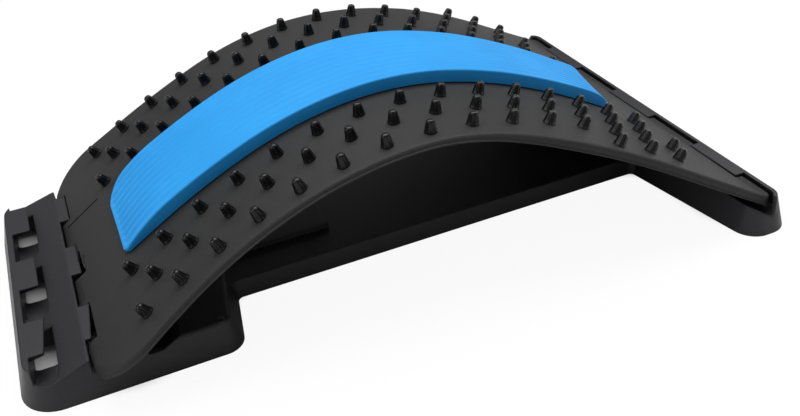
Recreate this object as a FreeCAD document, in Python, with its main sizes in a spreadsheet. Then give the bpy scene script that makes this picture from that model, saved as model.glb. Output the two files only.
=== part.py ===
import FreeCAD, Part
import math
import os

import Sketcher
from FreeCAD import Placement, Rotation, Vector

os.makedirs("parts", exist_ok=True)
doc = FreeCAD.newDocument("arched_back_stretcher")

# Driving dimensions in millimetres and degrees. X runs from the narrow foot to the wide foot.
sizes = [
    ("base_wall", 2.5, "wall of the base moulding"),
    ("wall_draft", 16.0, "lean of the outer walls of the base, degrees"),
    ("left_foot_length", 105.3, "narrow foot, along X where it meets the waist"),
    ("left_foot_width", 162.0, "narrow foot, across"),
    ("left_foot_slant", 6.3, "how far the narrow foot's inner edge slants back"),
    ("waist_width", 88.6, "narrow bar between the feet"),
    ("waist_height", 9.0, "top of the bar above the floor"),
    ("spine_width", 41.0, "raised strip along the bar"),
    ("spine_height", 12.0, "top of that strip above the floor"),
    ("spine_end", 163.0, "end of that strip from the left floor edge"),
    ("right_foot_length", 41.0, "wide foot, along X where it meets the waist"),
    ("right_foot_width", 253.4, "wide foot, across"),
    ("right_foot_slant", 13.5, "how far the wide foot's inner edge slants"),
    ("foot_corner", 18.0, "plan radius of the narrow foot's outer corners"),
    ("inner_corner", 10.0, "plan radius of the narrow foot's inner corners"),
    ("wide_corner", 12.5, "plan radius of the wide foot's corners"),
    ("waist_corner", 3.0, "plan radius where the waist meets a foot"),
    ("lip_run", 8.1, "from the left floor edge to the first catch wall"),
    ("row_pitch", 24.5, "distance between the rows of catches"),
    ("crest_height", 17.7, "top of the lips and of the ridges between the catch rows"),
    ("crest_land", 1.2, "flat top of a ridge"),
    ("valley_height", 11.8, "seat of the board's edge behind a ridge"),
    ("valley_run", 6.2, "flat of that seat, along X"),
    ("foot_top", 16.0, "flat top of the narrow foot behind the last row"),
    ("pocket_run", 11.2, "pocket under a hook, along X"),
    ("slot_floor", 6.2, "floor of a pocket"),
    ("pocket_length", 42.0, "pocket, along Y"),
    ("pocket_corner", 5.4, "plan radius of a pocket's near end"),
    ("pocket_margin", 5.2, "foot beside the nearest pocket"),
    ("catch_pitch", 51.9, "distance between the hooks of a row"),
    ("first_catch", 48.4, "middle of the nearest hook from the middle line"),
    ("hook_length", 25.2, "hook, along Y"),
    ("hook_root", 2.4, "thickness of a hook at its wall"),
    ("hook_tip", 1.0, "thickness of a hook at its edge"),
    ("hook_slant", 2.3, "how far the nearest hook's edge slants back"),
    ("hook_reach", 5.0, "hook from its wall"),
    ("first_hook_reach", 8.9, "hook of the first row"),
    ("window_length", 18.8, "moulding window under a hook, along Y"),
    ("window_corner", 3.0, "plan radius of a window's near corners"),
    ("seat_clearance", 0.3, "gap between a seated piece and its seat"),
    ("edge_gap", 0.7, "gap between the board's edge and its catch wall"),
    ("board_length", 370.0, "arched board, measured along the curve"),
    ("board_thickness", 3.0, "plate of the board"),
    ("board_lip", 2.9, "height of the board's edge where it stands in the catches"),
    ("board_start_angle", 34.9, "slope of the board at its narrow end, degrees"),
    ("board_left_half", 99.3, "half width at the narrow end, before rounding"),
    ("board_waist_half", 87.3, "half width of the middle"),
    ("board_flare_half", 95.8, "half width where the straight flare begins"),
    ("board_right_half", 119.0, "half width at the wide end"),
    ("board_left_sweep", 305.0, "plan radius of the side towards the narrow end"),
    ("board_flare_sweep", 292.0, "plan radius of the side into the flare"),
    ("board_left_corner", 21.0, "plan radius of the narrow end's corners"),
    ("board_right_corner", 5.0, "plan radius of the wide end's corners"),
    ("rim_depth", 5.0, "turned-down rim of the board, with the plate"),
    ("rim_wall", 2.5, "wall of that rim"),
    ("rim_free_half", 76.0, "half width of the narrow end left without a rim"),
    ("notch_gap", 0.5, "gap around a hook in its notch"),
    ("middle_notch_gap", 2.4, "gap before the middle hook and at its near end"),
    ("step_place", 2.8, "fine step across the board's edge, from its end"),
    ("step_depth", 0.4, "depth of that step"),
    ("right_tab_reach", 5.4, "tabs of the wide foot's lip, from the lip's inside"),
    ("right_lip_wall", 2.2, "lip of the wide foot"),
    ("tab_gap", 0.8, "gap between a tab's edge and the board's notch, which the lifting board needs"),
    ("right_lip_gap", 3.5, "gap between the board's wide end and the lip"),
    ("tab_thickness", 2.0, "tabs of the wide foot's lip"),
    ("middle_tab_half", 19.5, "half length of the lip's middle tab"),
    ("side_tab_start", 58.4, "inner end of a side tab"),
    ("side_tab_end", 94.7, "outer end of a side tab"),
    ("wall_gap", 3.2, "wide foot's side walls below the board's rim"),
    ("wall_rise", 3.7, "run over which those walls rise to the lip"),
    ("tray_drop", 3.0, "floor of the wide foot's tray below the board's rim"),
    ("ledge_half", 98.0, "half length of the ledge under the board's wide end"),
    ("foam_half_width", 29.2, "foam strip"),
    ("foam_thickness", 7.0, "foam strip at its middle"),
    ("foam_end_thickness", 2.2, "foam strip at its ends"),
    ("foam_start", 30.3, "bare board before the foam, along the curve"),
    ("foam_end", 29.8, "bare board after the foam, along the curve"),
    ("foam_taper", 46.0, "length over which each end thins"),
    ("foam_corner", 15.0, "plan radius of the foam's corners"),
    ("glue_thickness", 0.3, "adhesive sheet under the foam"),
    ("glue_margin", 3.0, "foam beyond the adhesive sheet"),
    ("glue_gap", 0.1, "gap at each face of the adhesive sheet"),
    ("nub_height", 7.6, "massage nub"),
    ("nub_foot", 3.5, "radius of its foot"),
    ("nub_draft", 8.0, "taper of a nub, degrees"),
    ("nub_tip_chamfer", 1.1, "bevel around its tip"),
    ("nub_start", 33.9, "first row of nubs from the board's narrow end, along the curve"),
    ("nub_end", 36.9, "last row of nubs from its wide end, along the curve"),
    ("nub_first_column", 42.9, "inner column from the middle line"),
    ("nub_column_step", 16.8, "step between columns"),
    ("overrun", 5.0, "how far a cutting shape runs past what it cuts"),
]
span_shares = (0.1490, 0.1441, 0.1158, 0.1741, 0.1155, 0.1439, 0.1576)
span_turns = (3.40, 8.73, 12.60, 23.09, 9.28, 6.94, -1.21)
waist_start_share = 0.250
waist_end_share = 0.463
flare_start_share = 0.670

dims = doc.addObject("Spreadsheet::Sheet", "dims")
for row, (alias, value, note) in enumerate(sizes, start=1):
    dims.set(f"A{row}", note)
    dims.set(f"B{row}", str(value))
    dims.setAlias(f"B{row}", alias)
doc.recompute()


def size(alias):
    """A driving dimension as a plain number."""
    return float(getattr(dims, alias))


# The arch is a chain of tangent arcs. Its line is the top face of the board, seen from the side.
def arch_line(start, offset=0.0, first=0.0, last=1.0):
    """Arcs of the arch moved out by offset, as (from, middle, to) points in X and Z."""
    arcs = []
    place, slope = start, math.radians(size("board_start_angle"))
    done = 0.0
    for share, turn in zip(span_shares, span_turns):
        length = share * size("board_length")
        bend = math.radians(turn) / length
        low, high = max(first, done), min(last, done + share)
        if high > low:
            marks = [(low - done), (low + high) / 2 - done, high - done]
            arcs.append([arc_point(place, slope, bend, m * size("board_length"), offset) for m in marks])
        place = arc_point(place, slope, bend, length, 0.0)
        slope -= bend * length
        done += share
    return arcs


def arc_point(place, slope, bend, run, offset):
    """Point after a run along an arc that starts at place with a slope, moved out by offset."""
    turned = slope - bend * run
    x = place[0] + (math.sin(slope) - math.sin(turned)) / bend
    z = place[1] + (math.cos(turned) - math.cos(slope)) / bend
    return (x - offset * math.sin(turned), z + offset * math.cos(turned))


def arch_place(start, run):
    """Place and slope of the board's top face at a distance along it."""
    place, slope = start, math.radians(size("board_start_angle"))
    for share, turn in zip(span_shares, span_turns):
        length = share * size("board_length")
        bend = math.radians(turn) / length
        if run <= length:
            return arc_point(place, slope, bend, run, 0.0), slope - bend * run
        place = arc_point(place, slope, bend, length, 0.0)
        slope -= bend * length
        run -= length
    return place, slope


# What follows from the arch: the seat of its narrow end, the place of the wide foot's lip.
second_wall = size("lip_run") + size("row_pitch")
board_edge = second_wall + size("edge_gap")
edge_floor = size("valley_height") + size("seat_clearance")
edge_top = edge_floor + size("board_lip")
(far_edge, far_top), far_slope = arch_place((board_edge, edge_top), size("board_length"))
lean_share = math.tan(math.radians(size("wall_draft")))
right_lip_inside = far_edge + size("right_lip_gap")
base_length = right_lip_inside + size("right_lip_wall") + size("crest_height") * lean_share
middle = base_length / 2
right_foot_start = base_length - size("right_foot_length")

# The wide foot's side walls run below the board's rim, along the slope of its wide end.
fall_share = math.tan(-far_slope)
rim_bottom = far_top - size("rim_depth") / math.cos(far_slope)
wall_bottom = rim_bottom - size("wall_gap")
wall_crest = (wall_bottom + (far_edge - right_foot_start) * fall_share) / (1 + lean_share * fall_share)

fitted = doc.addObject("Spreadsheet::Sheet", "fitted")
for row, (alias, value) in enumerate([
    ("base_length", base_length),
    ("board_edge", board_edge - middle),
    ("edge_floor", edge_floor),
    ("far_edge", far_edge - middle),
    ("board_chord", far_edge - board_edge),
    ("right_lip_inside", right_lip_inside - middle),
    ("fall_share", fall_share),
    ("wall_bottom", wall_bottom),
    ("wall_crest", wall_crest),
    ("tray_floor", rim_bottom - size("tray_drop")),
    ("ledge_top", far_top - size("board_thickness") / math.cos(far_slope) - size("seat_clearance")),
], start=1):
    fitted.set(f"A{row}", alias)
    fitted.set(f"B{row}", repr(value))
    fitted.setAlias(f"B{row}", alias)
doc.recompute()


# Helpers for bodies, sketches and boxes whose sizes are bound to the sheets.
worked = doc.addObject("Spreadsheet::Sheet", "worked")


def value_of(formula):
    """The number that a formula over the sheets gives."""
    worked.set("A1", "=" + formula)
    worked.recompute()
    return float(worked.get("A1"))


def new_body(label):
    """An empty body."""
    body = doc.addObject("PartDesign::Body", label)
    body.Label = label
    return body


def new_sketch(body, name, role, points):
    """A closed outline on a plane of the body. A point is (x, y) or, where an arc starts, (x, y, radius, side)."""
    sketch = body.newObject("Sketcher::SketchObject", name)
    plane = next(p for p in body.Origin.OriginFeatures if p.Role == role)
    sketch.AttachmentSupport = [(plane, "")]
    sketch.MapMode = "FlatFace"
    places = [Vector(value_of(point[0]), value_of(point[1]), 0) for point in points]
    for index, point in enumerate(points):
        start, end = places[index], places[(index + 1) % len(points)]
        if len(point) == 2:
            sketch.addGeometry(Part.LineSegment(start, end))
        else:
            radius = value_of(point[2])
            chord = end - start
            rise = radius - math.sqrt(radius ** 2 - chord.Length ** 2 / 4)
            across = Vector(-chord.y, chord.x, 0).normalize() * rise * point[3]
            sketch.addGeometry(Part.Arc(start, (start + end) / 2 + across, end))
    for index, point in enumerate(points):
        geometry = sketch.Geometry[index]
        first_end = 1 if (geometry.StartPoint - places[index]).Length < (geometry.EndPoint - places[index]).Length else 2
        following = (index + 1) % len(points)
        after = sketch.Geometry[following]
        after_end = 1 if (after.StartPoint - places[following]).Length < (after.EndPoint - places[following]).Length else 2
        sketch.addConstraint(Sketcher.Constraint("Coincident", index, 3 - first_end, following, after_end))
        for kind, value, expression in (("DistanceX", places[index].x, point[0]), ("DistanceY", places[index].y, point[1])):
            number = sketch.addConstraint(Sketcher.Constraint(kind, -1, 1, index, first_end, value))
            sketch.setExpression(f"Constraints[{number}]", expression)
        if len(point) > 2:
            number = sketch.addConstraint(Sketcher.Constraint("Radius", index, value_of(point[2])))
            sketch.setExpression(f"Constraints[{number}]", point[2])
    return sketch


def pad(body, sketch, length, both_ways=False):
    """A pad of the sketch with a bound length."""
    feature = body.newObject("PartDesign::Pad", sketch.Name + "_pad")
    feature.Profile = sketch
    feature.setExpression("Length", length)
    feature.Midplane = both_ways
    doc.recompute()
    return feature


def lean_in(body, name, angle):
    """Leans all upright faces of the body inwards from its lowest face."""
    base = body.Tip
    faces = base.Shape.Faces
    sides = [f"Face{n}" for n, face in enumerate(faces, start=1) if face.BoundBox.ZLength > size("base_wall")]
    lowest = min(range(len(faces)), key=lambda n: faces[n].BoundBox.ZMax)
    feature = body.newObject("PartDesign::Draft", name)
    feature.Base = (base, sides)
    feature.NeutralPlane = (base, [f"Face{lowest + 1}"])
    feature.setExpression("Angle", angle)
    doc.recompute()
    if not feature.Shape.Volume < base.Shape.Volume:
        raise ValueError(name + " leans outwards")
    return feature


def cut_away(body, sketch):
    """A pocket right through the body, both ways from the sketch."""
    before = body.Shape.Volume
    feature = body.newObject("PartDesign::Pocket", sketch.Name + "_cut")
    feature.Profile = sketch
    feature.Type = "ThroughAll"
    feature.Midplane = True
    doc.recompute()
    if not feature.Shape.Volume < before:
        raise ValueError(sketch.Name + " cuts nothing")
    return feature


def round_uprights(body, name, radius, corners):
    """Rounds the upright edges of the body that start at the given places on its lowest plane."""
    base = body.Tip
    wanted = []
    for number, edge in enumerate(base.Shape.Edges, start=1):
        ends = sorted((vertex.Point for vertex in edge.Vertexes), key=lambda point: point.z)
        if len(ends) == 2 and ends[1].z - ends[0].z > size("base_wall"):
            if any(math.hypot(ends[0].x - x, ends[0].y - y) < size("seat_clearance") for x, y in corners):
                wanted.append(f"Edge{number}")
    feature = body.newObject("PartDesign::Fillet", name)
    feature.Base = (base, wanted)
    feature.setExpression("Radius", radius)
    doc.recompute()
    return feature


def new_box(label, low, spans):
    """A box with a bound corner and bound sizes."""
    box = doc.addObject("Part::Box", label)
    for axis, expression in zip(("x", "y", "z"), low):
        box.setExpression("Placement.Base." + axis, expression)
    for side, expression in zip(("Length", "Width", "Height"), spans):
        box.setExpression(side, expression)
    return box


def fuse(label, shapes):
    """One shape from several."""
    feature = doc.addObject("Part::MultiFuse", label)
    feature.Shapes = shapes
    doc.recompute()
    return feature


def subtract(label, base, tool):
    """The base without the tool."""
    feature = doc.addObject("Part::Cut", label)
    feature.Base = base
    feature.Tool = tool
    doc.recompute()
    return feature


def overlap(label, base, tool):
    """What the two shapes share."""
    feature = doc.addObject("Part::Common", label)
    feature.Base = base
    feature.Tool = tool
    doc.recompute()
    return feature


def from_left(run):
    """An X place given as a run from the left floor edge."""
    return f"{run} - fitted.base_length / 2"


# The base: a draughted plan outline, trimmed by a side profile, hollow from below.
row_total = 3
wall_places = [f"(dims.lip_run + {row} * dims.row_pitch)" for row in range(row_total + 1)]
lean = "tan(dims.wall_draft * 1 deg)"


def base_outline(inset):
    """Plan outline of the base at the floor, moved in by inset, anticlockwise from the narrow end."""
    left_half = f"(dims.left_foot_width / 2 - {inset})"
    waist_half = f"(dims.waist_width / 2 - {inset})"
    right_half = f"(dims.right_foot_width / 2 - {inset})"
    near = [
        (from_left(inset), left_half),
        (from_left(f"dims.left_foot_length - dims.left_foot_slant - {inset}"), left_half),
        (from_left(f"dims.left_foot_length - {inset}"), waist_half),
        (from_left(f"fitted.base_length - dims.right_foot_length + {inset}"), waist_half),
        (from_left(f"fitted.base_length - dims.right_foot_length + dims.right_foot_slant + {inset}"), right_half),
        (from_left(f"fitted.base_length - {inset}"), right_half),
    ]
    return [(x, f"0 - {y}") for x, y in near] + [(x, y) for x, y in reversed(near)]


def outer_profile():
    """Side profile above the base, as the outline of what is cut away."""
    top = "(dims.crest_height + 2 * dims.overrun)"
    points = [("0 - dims.overrun", top), ("0 - dims.overrun", "dims.crest_height"), (wall_places[0], "dims.crest_height")]
    for row in range(row_total):
        wall, crest = wall_places[row], wall_places[row + 1]
        last = row == row_total - 1
        ridge = "dims.foot_top" if last else "dims.crest_height"
        points += [(wall, "dims.valley_height"), (f"{wall} + dims.valley_run", "dims.valley_height"),
                   (f"{crest} - dims.crest_land", ridge)]
        if not last:
            points.append((crest, ridge))
    foot_end, wide_start = "dims.left_foot_length", "(fitted.base_length - dims.right_foot_length)"
    far_end = "(fitted.far_edge + fitted.base_length / 2)"
    lip_start = f"({far_end} + dims.right_lip_gap / 2)"
    points += [
        (f"{foot_end} - dims.foot_top * {lean}", "dims.foot_top"),
        (f"{foot_end} - dims.waist_height * {lean}", "dims.waist_height"),
        (f"{wide_start} + dims.waist_height * {lean}", "dims.waist_height"),
        (f"{wide_start} + fitted.wall_crest * {lean}", "fitted.wall_crest"),
        (f"{lip_start} - dims.wall_rise", f"fitted.wall_bottom + ({far_end} - {lip_start} + dims.wall_rise) * fitted.fall_share"),
        (lip_start, "dims.crest_height"),
        ("fitted.base_length + dims.overrun", "dims.crest_height"),
        ("fitted.base_length + dims.overrun", top),
    ]
    return [(from_left(x), z) for x, z in points]


def inner_profile():
    """Side profile above the hollow of the base, one wall below the outer one."""
    skin = "dims.base_wall"
    top = "(dims.crest_height + 2 * dims.overrun)"
    points = [("0 - dims.overrun", top), ("0 - dims.overrun", f"dims.valley_height - {skin}")]
    for row in range(row_total):
        wall, crest = wall_places[row], wall_places[row + 1]
        last = row == row_total - 1
        ridge = "dims.foot_top" if last else "dims.crest_height"
        if row > 0:
            points.append((f"{wall} - {skin}", f"dims.valley_height - {skin}"))
        points += [(f"{wall} + dims.valley_run", f"dims.valley_height - {skin}"),
                   (f"{crest} - dims.crest_land - {skin}", f"{ridge} - {skin}")]
        if not last:
            points.append((f"{crest} - {skin}", f"{ridge} - {skin}"))
    foot_end, wide_start = "dims.left_foot_length", "(fitted.base_length - dims.right_foot_length)"
    points += [
        (f"{foot_end} - dims.foot_top * {lean} - {skin}", f"dims.foot_top - {skin}"),
        (f"{foot_end} - dims.waist_height * {lean} - {skin}", f"dims.waist_height - {skin}"),
        (wide_start, f"dims.waist_height - {skin}"),
        (wide_start, f"fitted.tray_floor - {skin}"),
        ("fitted.base_length + dims.overrun", f"fitted.tray_floor - {skin}"),
        ("fitted.base_length + dims.overrun", top),
    ]
    return [(from_left(x), z) for x, z in points]


def base_block(label, inset, profile):
    """The base as a solid block, moved in all round by inset and cut to a side profile."""
    body = new_body(label)
    plan = new_sketch(body, label + "_plan", "XY_Plane", base_outline(inset))
    pad(body, plan, "fitted.wall_crest + dims.overrun")
    corners = [(value_of(x), value_of(y)) for x, y in base_outline(inset)]
    outer = [corners[index] for index in (0, 11)]
    inner = [corners[index] for index in (1, 10)]
    waist = [corners[index] for index in (2, 3, 8, 9)]
    wide = [corners[index] for index in (4, 5, 6, 7)]
    round_uprights(body, label + "_outer_round", f"dims.foot_corner - {inset}", outer)
    round_uprights(body, label + "_inner_round", f"dims.inner_corner - {inset}", inner)
    round_uprights(body, label + "_wide_round", f"dims.wide_corner - {inset}", wide)
    round_uprights(body, label + "_waist_round", f"dims.waist_corner + {inset}", waist)
    lean_in(body, label + "_lean", "dims.wall_draft")
    side = new_sketch(body, label + "_side", "XZ_Plane", profile)
    cut_away(body, side)
    return body


def spine_box(label, skin):
    """The raised strip along the bar, moved in by skin."""
    low = (from_left("dims.left_foot_length - dims.foot_corner"), f"0 - dims.spine_width / 2 + {skin}", "0")
    spans = (f"dims.spine_end - dims.left_foot_length + dims.foot_corner - {skin}",
             f"dims.spine_width - 2 * {skin}", f"dims.spine_height - {skin}")
    return new_box(label, low, spans)


def hook_middle(cell):
    """Middle of a hook along Y; the first is the nearest."""
    return f"({cell} * dims.catch_pitch - dims.first_catch)"


def pocket_ends(cell):
    """Near and far end of the pocket beside a hook, which reaches to the far end of its window."""
    far = f"({hook_middle(cell)} + dims.window_length / 2)"
    if cell == 0:
        return "(dims.pocket_margin - dims.left_foot_width / 2)", far
    return f"({far} - dims.pocket_length)", far


def rounded_slot(label, row, near, far, low, high, corner):
    """An upright cut in a catch row with its two near corners rounded."""
    left, right = from_left(wall_places[row]), from_left(f"{wall_places[row]} + dims.pocket_run")
    body = new_body(label)
    plan = new_sketch(body, label + "_plan", "XY_Plane", [(left, near), (right, near), (right, far), (left, far)])
    plan.setExpression("AttachmentOffset.Base.z", low)
    pad(body, plan, f"{high} - {low}")
    near_corners = [(value_of(left), value_of(near)), (value_of(right), value_of(near))]
    round_uprights(body, label + "_round", corner, near_corners)
    return body


def catch_cuts(row):
    """Cuts of one catch row: a pocket beside each hook and a moulding window under it."""
    cuts = []
    for cell in range(hook_total):
        near, far = pocket_ends(cell)
        cuts.append(rounded_slot(f"row{row + 1}_pocket{cell + 1}", row, near, far, "dims.slot_floor",
                                 "(dims.crest_height + dims.overrun)", "dims.pocket_corner"))
        window_near = f"({hook_middle(cell)} - dims.window_length / 2)"
        cuts.append(rounded_slot(f"row{row + 1}_window{cell + 1}", row, window_near, far, "(0 - dims.overrun)",
                                 "(dims.slot_floor + dims.base_wall)", "dims.window_corner"))
    return cuts


def catch_rooms(row):
    """Floor and walls kept around the pockets of one row, to be left out of the hollow below."""
    near, far = pocket_ends(0)[0], pocket_ends(hook_total - 1)[1]
    corner = (from_left(f"{wall_places[row]} - dims.base_wall"), f"{near} - dims.base_wall", "dims.slot_floor - dims.base_wall")
    spans = ("dims.pocket_run + 2 * dims.base_wall", f"{far} - {near} + 2 * dims.base_wall", "dims.crest_height")
    return new_box(f"row{row + 1}_room", corner, spans)


def catch_hooks(row):
    """The hooks of one row: a wedge along the whole wall, kept only where a hook is."""
    reach = "dims.first_hook_reach" if row == 0 else "dims.hook_reach"
    wall, edge = from_left(wall_places[row]), from_left(f"{wall_places[row]} + {reach}")
    root, high = from_left(f"{wall_places[row]} - dims.base_wall / 2"), "dims.crest_height"
    wedge = new_body(f"row{row + 1}_wedge")
    side = new_sketch(wedge, f"row{row + 1}_wedge_side", "XZ_Plane", [
        (root, f"{high} - dims.hook_root"), (wall, f"{high} - dims.hook_root"),
        (edge, f"{high} - dims.hook_tip"), (edge, high), (root, high)])
    pad(wedge, side, "dims.left_foot_width", both_ways=True)
    plans = []
    for cell in range(hook_total):
        near = f"{hook_middle(cell)} - dims.hook_length / 2"
        far = f"{hook_middle(cell)} + dims.hook_length / 2"
        slant = "dims.hook_slant" if cell == 0 else "0"
        plan = new_body(f"row{row + 1}_hook{cell + 1}")
        outline = new_sketch(plan, f"row{row + 1}_hook{cell + 1}_plan", "XY_Plane", [
            (root, near), (f"{edge} - {slant}", near), (edge, far), (root, far)])
        pad(plan, outline, "dims.crest_height")
        plans.append(plan)
    return overlap(f"row{row + 1}_hooks", wedge, fuse(f"row{row + 1}_plans", plans))


def wide_tray():
    """The open tray of the wide foot, one lip wall inside its outer faces."""
    wall = "dims.right_lip_wall"
    start = f"fitted.base_length - dims.right_foot_length + 2 * {wall}"
    waist, half = "(dims.waist_width / 2)", f"(dims.right_foot_width / 2 - {wall})"
    near = [(from_left(start), waist), (from_left(f"{start} + dims.right_foot_slant"), half),
            (from_left(f"fitted.base_length - {wall}"), half)]
    body = new_body("tray")
    plan = new_sketch(body, "tray_plan", "XY_Plane",
                      [(x, f"0 - {y}") for x, y in near] + [(x, y) for x, y in reversed(near)])
    pad(body, plan, "fitted.wall_crest + dims.overrun")
    wide = [(value_of(x), sign * value_of(y)) for x, y in near[1:] for sign in (-1, 1)]
    round_uprights(body, "tray_round", f"dims.wide_corner - {wall}", wide)
    lean_in(body, "tray_lean", "dims.wall_draft")
    room = new_box("tray_room", ("0", "0 - dims.right_foot_width / 2", "fitted.tray_floor"),
                   ("fitted.base_length", "dims.right_foot_width", "fitted.base_length"))
    return overlap("open_tray", body, room)


def lip_tab(label, near, far):
    """One tab of the wide foot's lip, between two places along Y."""
    corner = ("fitted.right_lip_inside - dims.right_tab_reach", near, "dims.crest_height - dims.tab_thickness")
    return new_box(label, corner, ("dims.right_tab_reach + dims.right_lip_wall / 2", f"{far} - ({near})", "dims.tab_thickness"))


hook_total = 3
outer_block = fuse("outer_block", [base_block("base_outside", "0", outer_profile()), spine_box("spine_outside", "0")])
inner_block = fuse("inner_block", [base_block("base_inside", "dims.base_wall", inner_profile()),
                                   spine_box("spine_inside", "dims.base_wall")])
hollow = subtract("hollow", inner_block, fuse("catch_rooms", [catch_rooms(row) for row in range(row_total)]))
open_base = subtract("open_base", outer_block, hollow)
row_cuts = [cut for row in range(row_total) for cut in catch_cuts(row)]
cut_base = subtract("cut_base", open_base, fuse("base_cuts", row_cuts + [wide_tray()]))
seat_ledge = new_box("seat_ledge", ("fitted.far_edge - dims.wall_gap", "0 - dims.ledge_half", "fitted.tray_floor - dims.base_wall / 2"),
                     ("dims.wall_gap + dims.right_lip_gap + dims.right_lip_wall / 2", "2 * dims.ledge_half",
                      "fitted.ledge_top - fitted.tray_floor + dims.base_wall / 2"))
lip_tabs = [
    lip_tab("near_tab", "0 - dims.side_tab_end", "(0 - dims.side_tab_start)"),
    lip_tab("middle_tab", "0 - dims.middle_tab_half", "dims.middle_tab_half"),
    lip_tab("far_tab", "dims.side_tab_start", "dims.side_tab_end"),
]
base_frame = fuse("base_frame", [cut_base, seat_ledge] + [catch_hooks(row) for row in range(row_total)] + lip_tabs)
doc.recompute()


# The board: a thick arched band, cut to its plan outline and hollowed from below to leave the rim.
arch_start = (board_edge - middle, edge_top)


def arc_edges(points):
    """Edges through rows of (from, middle, to) points."""
    return [Part.Arc(*(Vector(x, 0, z) for x, z in arc)).toShape() for arc in points]


def line_edge(start, end):
    """A straight edge between two (x, z) points."""
    return Part.LineSegment(Vector(start[0], 0, start[1]), Vector(end[0], 0, end[1])).toShape()


def arch_band(label, low, high, half_width, first=0.0, last=1.0):
    """A band between two offsets from the arch line, across the whole width."""
    lower = arch_line(arch_start, low, first, last)
    upper = arch_line(arch_start, high, first, last)
    edges = arc_edges(lower) + [line_edge(lower[-1][2], upper[-1][2])] + arc_edges(upper)
    edges.append(line_edge(upper[0][0], lower[0][0]))
    face = Part.Face(Part.Wire(Part.__sortEdges__(edges)))
    feature = doc.addObject("Part::Feature", label)
    feature.Shape = face.extrude(Vector(0, 2 * half_width, 0))
    feature.Placement = Placement(Vector(0, -half_width, 0), Rotation())
    return feature


def board_outline(inset):
    """Half of the board's plan outline on the far side, from the narrow end to the wide one."""
    place = "fitted.board_edge + fitted.board_chord * {}"
    return [
        (f"fitted.board_edge + {inset}", f"dims.board_left_half - {inset}", "dims.board_left_sweep", -1),
        (place.format(waist_start_share), f"dims.board_waist_half - {inset}"),
        (place.format(waist_end_share), f"dims.board_waist_half - {inset}", "dims.board_flare_sweep", -1),
        (place.format(flare_start_share), f"dims.board_flare_half - {inset}"),
        (f"fitted.far_edge - {inset}", f"dims.board_right_half - {inset}"),
    ]


def board_prism(label, inset):
    """An upright prism of the board's outline, moved in by inset."""
    far = board_outline(inset)
    near = [(point[0], f"0 - ({point[1]})") for point in far]
    outline = list(far)
    for index in reversed(range(len(near))):
        point = near[index]
        if index > 0 and len(far[index - 1]) > 2:
            point = point + (far[index - 1][2], -1)
        outline.append(point)
    body = new_body(label)
    plan = new_sketch(body, label + "_plan", "XY_Plane", outline)
    pad(body, plan, "2 * fitted.board_chord", both_ways=True)
    ends = [(value_of(point[0]), value_of(point[1])) for point in (far[0], near[0])]
    round_uprights(body, label + "_left_round", f"dims.board_left_corner - {inset}", ends)
    ends = [(value_of(point[0]), value_of(point[1])) for point in (far[-1], near[-1])]
    round_uprights(body, label + "_right_round", f"dims.board_right_corner - {inset}", ends)
    return body


reach = size("board_right_half") + size("overrun")
rim_band = arch_band("rim_band", -size("rim_depth"), 0.0, reach)
room_band = arch_band("room_band", -size("rim_depth") - size("overrun"), -size("board_thickness"), reach)
board_block = overlap("board_block", rim_band, board_prism("board_outside", "0"))
free_half = "dims.rim_free_half"
room_plan = fuse("room_plan", [
    board_prism("board_inside", "dims.rim_wall"),
    new_box("left_free", ("fitted.board_edge - dims.overrun", f"0 - {free_half}", "0"),
            ("dims.overrun + 2 * dims.rim_wall", f"2 * {free_half}", "fitted.board_chord")),
    new_box("right_free", ("fitted.far_edge - 2 * dims.rim_wall", "0 - dims.board_right_half + 2 * dims.rim_wall", "0"),
            ("dims.overrun + 2 * dims.rim_wall", "2 * dims.board_right_half - 4 * dims.rim_wall", "fitted.board_chord")),
])
board_room = overlap("board_room", room_band, room_plan)
edge_room = new_box("edge_room", ("fitted.board_edge - dims.overrun", "0 - fitted.board_chord / 2", "0"),
                    ("3 * dims.overrun", "fitted.board_chord", "fitted.edge_floor"))


def hook_notch(cell):
    """The notch in the board's narrow end for one hook of the second row."""
    gap = "dims.middle_notch_gap" if cell == 1 else "dims.notch_gap"
    near = f"{hook_middle(cell)} - dims.hook_length / 2 - {gap}"
    edge = f"({from_left(wall_places[1])} + dims.hook_reach + {gap})"
    return new_box(f"notch{cell + 1}", ("fitted.board_edge - dims.overrun", near, "0"),
                   (f"{edge} - fitted.board_edge + dims.overrun", f"dims.hook_length + {gap} + dims.notch_gap",
                    "fitted.board_chord"))


def tab_notch(label, near, far):
    """The notch in the board's wide end for one tab of the lip."""
    corner = ("fitted.right_lip_inside - dims.right_tab_reach - dims.tab_gap", f"{near} - dims.notch_gap", "0")
    return new_box(label, corner, ("dims.right_tab_reach + dims.overrun", f"{far} - ({near}) + 2 * dims.notch_gap",
                                   "fitted.board_chord"))


def edge_step(cell):
    """The fine step in the part of the board's narrow end that lies between two hooks."""
    near = f"({hook_middle(cell)} + dims.hook_length / 2 + 2 * dims.middle_notch_gap)"
    return new_box(f"step{cell + 1}", ("fitted.board_edge - dims.overrun", near, "0"),
                   ("dims.overrun + dims.step_place", "dims.catch_pitch - dims.hook_length - 4 * dims.middle_notch_gap",
                    "fitted.board_chord"))


step_band = arch_band("step_band", -size("step_depth"), size("overrun"), reach, 0.0, span_shares[0] / 2)
steps = overlap("edge_steps", step_band, fuse("step_plans", [edge_step(0), edge_step(1)]))
board_cuts = [board_room, edge_room, steps] + [hook_notch(cell) for cell in range(hook_total)] + [
    tab_notch("near_tab_notch", "0 - dims.side_tab_end", "(0 - dims.side_tab_start)"),
    tab_notch("middle_tab_notch", "0 - dims.middle_tab_half", "dims.middle_tab_half"),
    tab_notch("far_tab_notch", "dims.side_tab_start", "dims.side_tab_end"),
]
arch_board = subtract("arch_board", board_block, fuse("board_cuts", board_cuts))
doc.recompute()


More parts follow.
